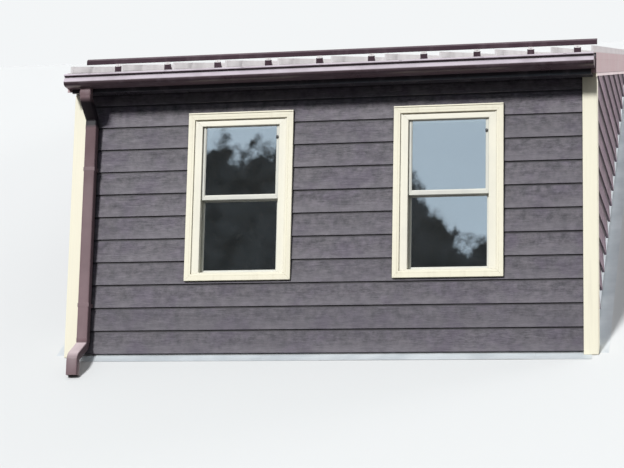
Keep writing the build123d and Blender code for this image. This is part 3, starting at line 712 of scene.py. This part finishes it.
black = enamel("nearly black enamel", (0.034, 0.017, 0.025, 1), (0.4, 0.33, 0.36, 1), rough=0.55,
               dust_and_light=0.5, tilt=(0.5, 0.95), Specular_IOR_Level=0.08)
eased_copy("snow_bar", "snow_bar_steel", black, "bar_metal", 0.001)
seam_pitch, first_seam, last_seam = 0.415, -2.016, 2.016
seams = [first_seam + seam_pitch * n for n in range(10)] + [last_seam]
bar_y, bar_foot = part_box("snow_bar")[0].yz
near, far = (corner.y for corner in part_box("snow_bar_feet"))
plate, web, jaw, jaw_front, jaw_back = 0.005, 0.006, 0.019, 0.002, 0.011
half_widths = {"plate": 0.033, "web": 0.027, "jaw": 0.02, "rib": 0.002}
jaw_foot = bar_foot - jaw


def roof_at(y):
    """The height of the roof's pans at a distance from the street."""
    return roof_at_wall + roof_slope * (y - wall_face)


def foot_part(bm, kind, middle, outline):
    """One part of a foot, as wide as its kind."""
    drawn_out(bm, outline, middle - half_widths[kind], middle + half_widths[kind], along_side)


bm, jaws = bmesh.new(), bmesh.new()
for left_seam, right_seam in zip(seams, seams[1:]):
    middle = (left_seam + right_seam) / 2
    foot_part(bm, "plate", middle, [(near, roof_at(near) + 0.0001), (far, roof_at(far) + 0.0001),
                                    (far, roof_at(far) + plate), (near, roof_at(near) + plate)])
    foot_part(bm, "web", middle, [(bar_y, roof_at(bar_y) + 0.004), (bar_y + web, roof_at(bar_y) + 0.004),
                                  (bar_y + web, jaw_foot), (bar_y, jaw_foot)])
    foot_part(jaws, "jaw", middle, [(bar_y - jaw_front, jaw_foot - 0.003),
                                    (bar_y + jaw_back, jaw_foot - 0.003),
                                    (bar_y + jaw_back, bar_foot - 0.0002), (bar_y, bar_foot - 0.0002),
                                    (bar_y - jaw_front, bar_foot - 0.003)])
    bolt_head(jaws, (middle, bar_y - jaw_front + 0.0002, bar_foot - jaw / 2), (0, -1, 0), 0.005, 0.004)
    for rib in (-0.022, 0.022):
        foot_part(bm, "rib", middle + rib, [
            (bar_y + web, roof_at(bar_y) + 0.004), (far - 0.006, roof_at(far) + 0.003),
            (bar_y + 2 * web, jaw_foot - 0.004), (bar_y + web, jaw_foot - 0.004)])
    for y in (near + 0.02, far - 0.022):
        bolt_head(bm, (middle, y, roof_at(y) + plate), (0, -roof_slope, 1), 0.0065, 0.006)
set_piece(bm, "snow_bar_foot_plates", black, "bar_metal", "snow_bar_feet")
set_piece(jaws, "snow_bar_jaws", pale_roof, "roof_metal")


# Gutter: an ogee trough rolled from one sheet of brown enamelled aluminium, with caps at both ends.
# Its lip is a folded hem over a deep groove; flat hangers screwed to the fascia hold the lip.
def inner_line(line, thickness):
    """The line moved in by the thickness of the sheet, mitred at its bends."""
    points = [Vector(p) for p in line]
    moved = []
    for k, p in enumerate(points):
        back = (p - points[k - 1]).normalized() if k else None
        on = (points[k + 1] - p).normalized() if k + 1 < len(points) else None
        square = [Vector((d.y, -d.x)) for d in (back, on) if d is not None]
        mean = sum(square, Vector((0, 0))).normalized()
        moved.append(p + mean * thickness / max(0.5, mean.dot(square[0])))
    return moved


def bent_sheet(bm, stations, line, thickness, place, gone=None):
    """A sheet bent along a line of (across, up) points and drawn out through the stations."""
    faces = (line, inner_line(line, thickness))
    lay_board(bm, stations, range(len(line)), lambda s, k: 0,
              lambda s, face, k: place(s, faces[face][k]), gone, back=1)


def curve(a, b, c, d, steps):
    """Points of a smooth curve from a to d, drawn toward b and c; the first is left out."""
    a, b, c, d = (Vector(p) for p in (a, b, c, d))
    return [tuple((1 - t) ** 3 * a + 3 * t * (1 - t) ** 2 * b + 3 * t * t * (1 - t) * c + t ** 3 * d)
            for t in (n / steps for n in range(1, steps + 1))]


gutter_low, gutter_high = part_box("gutter_end_caps")
trough_front, trough_back = gutter_low.y, gutter_high.y
trough_foot, trough_top = gutter_low.z, gutter_high.z
cap, sheet_metal, gutter_spacing = 0.002, 0.0012, 0.09
toe = trough_back - 0.074
outlet_middle, pipe_width, pipe_depth = -1.877, 0.088, 0.066
outlet_y = trough_back - 0.037
hole = [outlet_middle + sign * (pipe_width / 2 - cap) for sign in (-1, 1)]
trough_line = [(trough_back, trough_top), (trough_back, trough_foot + 0.002),
               (trough_back - 0.002, trough_foot), (outlet_y + pipe_depth / 2 - cap, trough_foot),
               (outlet_y - pipe_depth / 2 + cap, trough_foot), (toe, trough_foot)]
trough_line += curve((toe, trough_foot), (toe - 0.024, trough_foot),
                     (trough_front + 0.003, trough_foot + 0.004),
                     (trough_front + 0.0004, trough_foot + 0.026), 9)
front_line = [(0.0, 0.031), (0.001, 0.0345), (0.0145, 0.0615), (0.0165, 0.0635), (0.019, 0.065),
              (0.0195, 0.071), (0.0165, 0.0755), (0.007, 0.0775), (0.0015, 0.0782), (0.0, 0.0802),
              (0.0008, 0.083), (0.0042, 0.0915), (0.0058, 0.0935), (0.0082, 0.094), (0.0104, 0.0928),
              (0.011, 0.0905), (0.0098, 0.087)]
trough_line += [(trough_front + y, trough_foot + z) for y, z in front_line]
outlet_strip = (3, 4)


def fall(s):
    """The gutter falls a little toward its outlet on the left."""
    return 0.004 + 0.010 * (last_seam - s) / (2 * last_seam)


def set_in_trough(s, p):
    """A point of the trough's outline, sunk with the fall and swayed a little along the lip."""
    share = (trough_back - p[0]) / (trough_back - trough_front)
    sway = 0.0006 * share * (1 + noise.noise(Vector((s * 1.9, 3.3, 0))))
    return (s, p[0] + sway, p[1] - fall(s))


# Its dark colour stands as painted shade under the trough, and faces tilted even slightly up turn pale as
# painted sky light.
gutter_brown = enamel("brown enamel on the gutter", (0.062, 0.04, 0.048, 1), (0.56, 0.5, 0.56, 1),
                      rough=0.3, dust_and_light=1.0, tilt=(-0.02, 0.4), Specular_IOR_Level=0.3)
bm = bmesh.new()
bent_sheet(bm, steps_between(gutter_low.x + cap, gutter_high.x - cap, gutter_spacing, hole),
           trough_line, sheet_metal, set_in_trough,
           lambda s, k: hole[0] < s < hole[1] and outlet_strip[0] < k < outlet_strip[1])
set_piece(bm, "ogee_gutter", gutter_brown, "brown_metal", "gutter")

bm = bmesh.new()
for outside, sign in ((gutter_low.x, -1), (gutter_high.x, 1)):
    drawn_out(bm, trough_line, outside, outside - sign * cap, set_in_trough)
    for p in ((trough_back - 0.02, trough_foot + 0.012), (toe + 0.01, trough_foot + 0.012),
              (trough_front + 0.012, trough_foot + 0.035)):
        bolt_head(bm, set_in_trough(outside - sign * 0.0022, p), (sign, 0, 0), 0.0025, 0.002, 12)
set_piece(bm, "gutter_caps", gutter_brown, "brown_metal", "gutter_end_caps")

hangers = eased_copy("gutter_hangers", "gutter_straps", gutter_brown, "brown_metal", 0.0006)
for v in hangers.data.vertices:
    v.co.z -= fall(v.co.x)
screws = bmesh.new()
hanger_pitch = 0.609
for n in range(-3, 4):
    x = hanger_pitch * n
    for y in (trough_back - 0.02, trough_front + 0.02):
        bolt_head(screws, (x, y, trough_top - 0.0055 - fall(x)), (0, 0, 1), 0.0045, 0.0035)
set_piece(screws, "hanger_screws", gutter_brown, "brown_metal")


# Downspout: outlet, two bends and a straight pipe of folded rectangular tube, in the same enamel.
# Each length slips into a wider mouth below it and is screwed; two straps hold the pipe.
swage, crimp, edge_radius = 0.0012, 0.0014, 0.009
pipe_y, pipe_top, pipe_foot = -0.113, 1.800, 0.130
outlet_foot, bend_radius = 2.033, 0.045
top_bends, bottom_bends = (1.978, 1.855), (0.075, -0.042)
kick_y, kick_foot = -0.316, -0.178


def bent_way(points, radius, turn=12):
    """Stations (point, direction, bend) along a way of straight runs with an arc at each corner."""
    points = [Vector(p) for p in points]
    way = [(points[0], (points[1] - points[0]).normalized(), 0)]
    for before, here, after in zip(points, points[1:], points[2:]):
        come, go = (here - before).normalized(), (after - here).normalized()
        angle = come.angle(go)
        side = (go - come * come.dot(go)).normalized()
        start = here - come * radius * math.tan(angle / 2)
        steps = 2 * max(2, round(math.degrees(angle) / turn))
        for n in range(steps + 1):
            a = angle * n / steps
            way.append((start + radius * (math.sin(a) * come + (1 - math.cos(a)) * side),
                        math.cos(a) * come + math.sin(a) * side, n % 2 if 0 < n < steps else 0))
    way.append((points[-1], (points[-1] - points[-2]).normalized(), 0))
    return way


def rounded_section(width, depth, radius, steps=4):
    """The outline of a rectangular tube with rounded corners."""
    outline = []
    for corner in range(4):
        cx = (width / 2 - radius) * (1 if corner in (0, 3) else -1)
        cd = (depth / 2 - radius) * (1 if corner < 2 else -1)
        for n in range(steps + 1):
            a = math.pi / 2 * (corner + n / steps)
            outline.append((cx + radius * math.cos(a), cd + radius * math.sin(a)))
    return outline


def draw_tube(bm, way, x, mouth=0.03, wall=0.0018):
    """A folded tube along its way, a little wider at its mouth, with crimps round its bends."""
    start, down, bend = way[0]
    stations = [(start + down * on, down, bend, wider)
                for on, wider in ((0, swage), (mouth, swage), (mouth + 0.003, 0))]
    stations += [(point, heading, bend, 0) for point, heading, bend in way[1:]]
    shells = []
    for inset in (0, wall):
        rings = []
        for point, heading, bend, wider in stations:
            grow = wider - inset - crimp * bend
            across = Vector((-heading.y, heading.x))
            ring = []
            for u, d in rounded_section(pipe_width + 2 * grow, pipe_depth + 2 * grow, edge_radius - inset):
                place = point + across * d
                ring.append(bm.verts.new((x + u, place.x, place.y)))
            rings.append(ring)
        for one, two in zip(rings, rings[1:]):
            join_rings(bm, one, two)
        shells.append(rings)
    for end in (0, -1):
        join_rings(bm, shells[0][end], shells[1][end])


# Its top bend is darkened below the gutter as painted shade.
pipe_brown = enamel("brown enamel on the downspout", (0.165, 0.108, 0.118, 1), (0.6, 0.5, 0.52, 1),
                    rough=0.4, dust_and_light=0.9, ripple=0.0004, tilt=(0.15, 0.8),
                    shade_band=(pipe_top - 0.01, top_bends[0] - 0.013), Specular_IOR_Level=0.25)
ways = {
    "downspout_outlet": [(outlet_y, trough_foot - fall(outlet_middle)), (outlet_y, outlet_foot)],
    "downspout_top_elbow": [(outlet_y, outlet_foot), (outlet_y, top_bends[0]), (pipe_y, top_bends[1]),
                            (pipe_y, pipe_top)],
    "downspout_pipe": [(pipe_y, z) for z in (pipe_top, 1.3, 0.7, pipe_foot)],
    "downspout_bottom_elbow": [(pipe_y, pipe_foot), (pipe_y, bottom_bends[0]),
                               (kick_y, bottom_bends[1]), (kick_y, kick_foot)],
}
for node, corners in ways.items():
    bm = bmesh.new()
    if node == "downspout_pipe":
        way = [(Vector(p), Vector((0, -1)), 0) for p in corners]
    else:
        way = bent_way(corners, bend_radius)
    draw_tube(bm, way, outlet_middle, mouth=0.012 if node == "downspout_outlet" else 0.03)
    if node != "downspout_outlet":
        y, z = corners[0]
        for sign in (-1, 1):
            bolt_head(bm, (outlet_middle + sign * (pipe_width / 2 + swage), y, z - 0.016),
                      (sign, 0, 0), 0.0035, 0.0025, 12)
    set_piece(bm, node + "_tube", pipe_brown, "brown_metal", node, sharp=28)

eased_copy("downspout_straps", "downspout_bands", pipe_brown, "brown_metal", 0.0004)


# Flashings: bent sheets of mill-finish aluminium between the walls and the main roof.
# The apron is nailed behind the lowest board; small cards step up each cheek.
mill, tree, shader = new_finish("dull aluminium", Metallic=0.35)
rolled = use(tree, fibres, {"Stretch": (1.5, 30, 30), "Warp": 0.1})
grey = tint(tree, grade(tree, clouds(tree, 4.0, 6.0), 0.35, 0.65), (0.58, 0.62, 0.645, 1),
            (0.72, 0.755, 0.775, 1))
# Stains and painted shade darken its joints and corners.
feed(tree, shader, {"Base Color": soil_and_shade(tree, grey, (0.2, 0.19, 0.18, 1), 0.03, 0.6),
                    "Roughness": grade(tree, rolled.outputs["Tone"], 0, 1, 0.45, 0.62)})
relief(tree, shader, rolled.outputs["Height"], 0.0004)
coat(mill, "left_step_flashing", "right_step_flashing")

apron_low, apron_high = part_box("apron_flashing")
sheet, overlap, lift, apron_spacing = 0.0009, 0.03, 0.0014, 0.05
main_rise = Vector((-main_slope, 1)).normalized()
foot_y, foot_z = apron_low.y, main_slope * (apron_low.y - wall_face)
bends = [(wall_face - 0.0006, apron_high.z), (wall_face - 0.0006, 0.004), (wall_face - 0.0018, 0.0022),
         (foot_y + 0.002, foot_z + 0.0032), (foot_y + 0.0004, foot_z + 0.0022),
         (foot_y + 0.0006, foot_z + 0.0008)]
joints = [apron_low.x, -0.028, 1.548, apron_high.x]


def laid_sheet(n):
    """How sheet n lies on the main roof: a little wavy, most of all along its free edge."""
    raised = lift * (n % 2)

    def lie(s, p):
        share = min(1.0, (wall_face - p[0]) / 0.09)
        wave = 0.0016 * share * (1 + noise.noise(Vector((s * 3.1, n * 5.0, share))))
        edge = 0.0012 * share * noise.noise(Vector((s * 6.3, n * 3.0, 9.0)))
        up = wave + raised
        return (s, p[0] + main_rise.x * up + abs(edge), p[1] + main_rise.y * up)
    return lie


bm = bmesh.new()
for n, (start, end) in enumerate(zip(joints, joints[1:])):
    reach = end if end == joints[-1] else end + overlap
    bent_sheet(bm, steps_between(start, reach, apron_spacing), bends, sheet, laid_sheet(n))
set_piece(bm, "apron_sheets", mill, "flashing_metal", "apron_flashing")


# The ground that the dormer is shown on: a pale sheet that lies in the slope of the main roof.
# It shows to the camera and keeps the shadow, and throws no light of its own.
ground_half, ground_near, ground_far = 14.0, -3.0, 5.04
mesh = bpy.data.meshes.new("ground")
mesh.from_pydata([(x, y, main_slope * (y - wall_face)) for x, y in (
    (-ground_half, ground_near), (ground_half, ground_near), (ground_half, ground_far),
    (-ground_half, ground_far))], [], [(0, 1, 2, 3)])
ground = put_in_scene("ground", mesh)
pale, tree, shader = new_finish("pale ground", Base_Color=(0.66, 0.675, 0.68, 1), Roughness=0.9)
path = put(tree, "LightPath")
seen = reckon(tree, "MAXIMUM", path.outputs["Is Camera Ray"], path.outputs["Is Transmission Ray"])
shown = reckon(tree, "SUBTRACT", seen, put(tree, "NewGeometry").outputs["Backfacing"], clamp=True)
mixed = put(tree, "MixShader", {0: shown, 1: put(tree, "BsdfTransparent").outputs[0],
                                2: shader.outputs[0]})
tree.links.new(mixed.outputs[0], tree.nodes["Material Output"].inputs["Surface"])
mesh.materials.append(pale)


# Studio light: a wide soft key from the front left, and a weaker one from behind on the right.
# The plain surround gives soft light from above, and a pale or a dark side for the gloss.
world = bpy.data.worlds.new("studio")
bpy.context.scene.world = world
world.use_nodes = True
tree = world.node_tree
path = put(tree, "LightPath")
heading = put(tree, "TexCoord").outputs["Generated"]
to_right, to_back, to_sky = put(tree, "SeparateXYZ", {0: heading}).outputs
soft_light = grade(tree, to_sky, 0.25, 0.8, 0.13, 0.62, interpolation_type="SMOOTHSTEP")
ragged = put(tree, "TexNoise", {"Vector": heading, "Scale": 75.0, "Detail": 6.0,
                                "Roughness": 0.6}).outputs[0]
sunk = grade(tree, to_right, -0.178, -0.138, 0.247, 0.2, interpolation_type="SMOOTHSTEP")
over = reckon(tree, "SUBTRACT", reckon(tree, "MULTIPLY_ADD", ragged, 0.05, to_sky), sunk)
above_line = grade(tree, over, 0.0, 0.009, interpolation_type="SMOOTHSTEP")
dark_side = tint(tree, grade(tree, ragged, 0.38, 0.62), (0.026, 0.031, 0.035, 1),
                 (0.056, 0.067, 0.077, 1))
front_gloss = tint(tree, above_line, dark_side, (0.8, 0.99, 1.16, 1))
gloss = tint(tree, grade(tree, to_back, 0.0, 0.15), front_gloss, (0.95, 0.85, 0.855, 1))
plain = tint(tree, path.outputs["Is Diffuse Ray"], (0.9, 0.92, 0.93, 1), soft_light)
surround = tint(tree, path.outputs["Is Glossy Ray"], plain, gloss)
tree.links.new(surround, tree.nodes["Background"].inputs["Color"])

for name, energy, spread, azimuth, elevation in (
        ("key", 3.2, 9, -20, 30), ("rim", 1.9, 20, 115, 22)):
    lamp = bpy.data.lights.new(name, "SUN")
    lamp.energy = energy
    lamp.angle = math.radians(spread)
    sun = put_in_scene(name, lamp)
    across, up = math.radians(azimuth), math.radians(elevation)
    toward = Vector((math.sin(across) * math.cos(up), -math.cos(across) * math.cos(up), math.sin(up)))
    sun.rotation_mode = "QUATERNION"
    sun.rotation_quaternion = (-toward).to_track_quat("-Z", "Y")


# The camera: a long lens from below and to the right, as the dormer is seen from the street.
camera = put_in_scene("camera", bpy.data.cameras.new("camera"))
camera.data.lens = 109.42
camera.data.sensor_width = 36
yaw, pitch, roll = 12.799, 10.517, 1.203
standpoint = Matrix.Translation((3.015, -13.809, -1.702))
for angle, axis in ((yaw, "Z"), (90 + pitch, "X"), (roll, "Z")):
    standpoint @= Matrix.Rotation(math.radians(angle), 4, axis)
camera.matrix_world = standpoint
bpy.context.scene.camera = camera
bpy.context.scene.view_settings.view_transform = "Standard"
